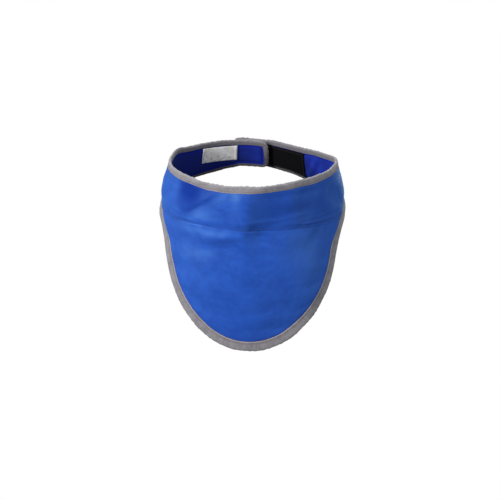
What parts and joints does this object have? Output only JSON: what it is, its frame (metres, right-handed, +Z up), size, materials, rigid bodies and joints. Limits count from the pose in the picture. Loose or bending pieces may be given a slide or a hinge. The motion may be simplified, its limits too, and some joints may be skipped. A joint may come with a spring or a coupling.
{
  "type": "thyroid shield collar",
  "caption": "Flexible radiation-shielding neck collar with a rounded chest bib, taped edges and a hook-and-loop closure at the back.",
  "frame": {"origin": "centre of the bounding box's footprint, at the level of the bib's lowest point", "axes": "+Z up along the wearer's neck, the bib and the wearer's front face -Y, the closure is at +Y, and +X runs to the viewer's right when the bib is looked at; X is the longest extent"},
  "size_m": [0.1834, 0.166, 0.1605],
  "materials": {
    "cover_fabric": "royal-blue coated nylon, fine plain weave, soft sheen",
    "lining_fabric": "royal-blue coated nylon, slightly darker inside face",
    "lead_rubber": "matt lead-loaded vinyl rubber",
    "edge_tape": "warm-grey folded woven binding tape with a fine crosswise rib",
    "thread": "beige-grey sewing thread",
    "hook_tape": "black hook tape",
    "loop_tape": "black napped loop tape",
    "label_cloth": "off-white satin label, blank"
  },
  "bodies": {
    "front_band": {"front_band_outer_cover": "cover_fabric", "front_band_lead_ply_outer": "lead_rubber", "front_band_lead_ply_inner": "lead_rubber", "front_band_lining": "lining_fabric", "front_band_rim_binding": "edge_tape", "front_band_rim_stitching": "thread", "front_band_lower_binding_right": "edge_tape", "front_band_lower_binding_left": "edge_tape", "front_band_lower_stitching_right": "thread", "front_band_lower_stitching_left": "thread", "crease_stitching": "thread"},
    "bib": {"bib_outer_cover": "cover_fabric", "bib_lead_ply_outer": "lead_rubber", "bib_lead_ply_inner": "lead_rubber", "bib_lining": "lining_fabric", "bib_edge_binding": "edge_tape", "bib_edge_stitching": "thread"},
    "right_strap": {"right_strap_outer_cover": "cover_fabric", "right_strap_lead_ply_outer": "lead_rubber", "right_strap_lead_ply_inner": "lead_rubber", "right_strap_lining": "lining_fabric", "right_strap_rim_binding": "edge_tape", "right_strap_lower_binding": "edge_tape", "right_strap_rim_stitching": "thread", "right_strap_lower_stitching": "thread", "right_strap_loop_patch": "loop_tape"},
    "closing_tab": {"closing_tab_outer_cover": "cover_fabric", "closing_tab_lining": "lining_fabric", "closing_tab_binding": "edge_tape", "closing_tab_stitching": "thread", "closing_tab_loop_patch": "loop_tape"},
    "left_strap": {"left_strap_outer_cover": "cover_fabric", "left_strap_lead_ply_outer": "lead_rubber", "left_strap_lead_ply_inner": "lead_rubber", "left_strap_lining": "lining_fabric", "left_strap_binding": "edge_tape", "left_strap_stitching": "thread", "left_strap_hook_patch": "hook_tape", "care_label": "label_cloth", "care_label_stitching": "thread"}
  },
  "joints": [
    {"name": "bib_lift", "type": "hinge", "parent": "front_band", "child": "bib", "pos_m": [-0.00013, -0.05892, 0.11771], "axis": [-1, 0, 0], "range_deg": [0, 20]},
    {"name": "right_strap_open", "type": "hinge", "parent": "front_band", "child": "right_strap", "pos_m": [0.08465, 0.02462, 0.13991], "axis": [0.1901, 0.0075, -0.9817], "range_deg": [0, 60]},
    {"name": "left_strap_open", "type": "hinge", "parent": "front_band", "child": "left_strap", "pos_m": [-0.08283, 0.03972, 0.13995], "axis": [0.2004, -0.0177, 0.9795], "range_deg": [0, 60]},
    {"name": "closing_tab_peel", "type": "hinge", "parent": "right_strap", "child": "closing_tab", "pos_m": [0.025, 0.06811, 0.14199], "axis": [0.0562, 0.2015, -0.9779], "range_deg": [0, 70]}
  ],
  "couplings": [
    {"joint": "left_strap_open", "follows": "right_strap_open", "ratio": 1}
  ]
}
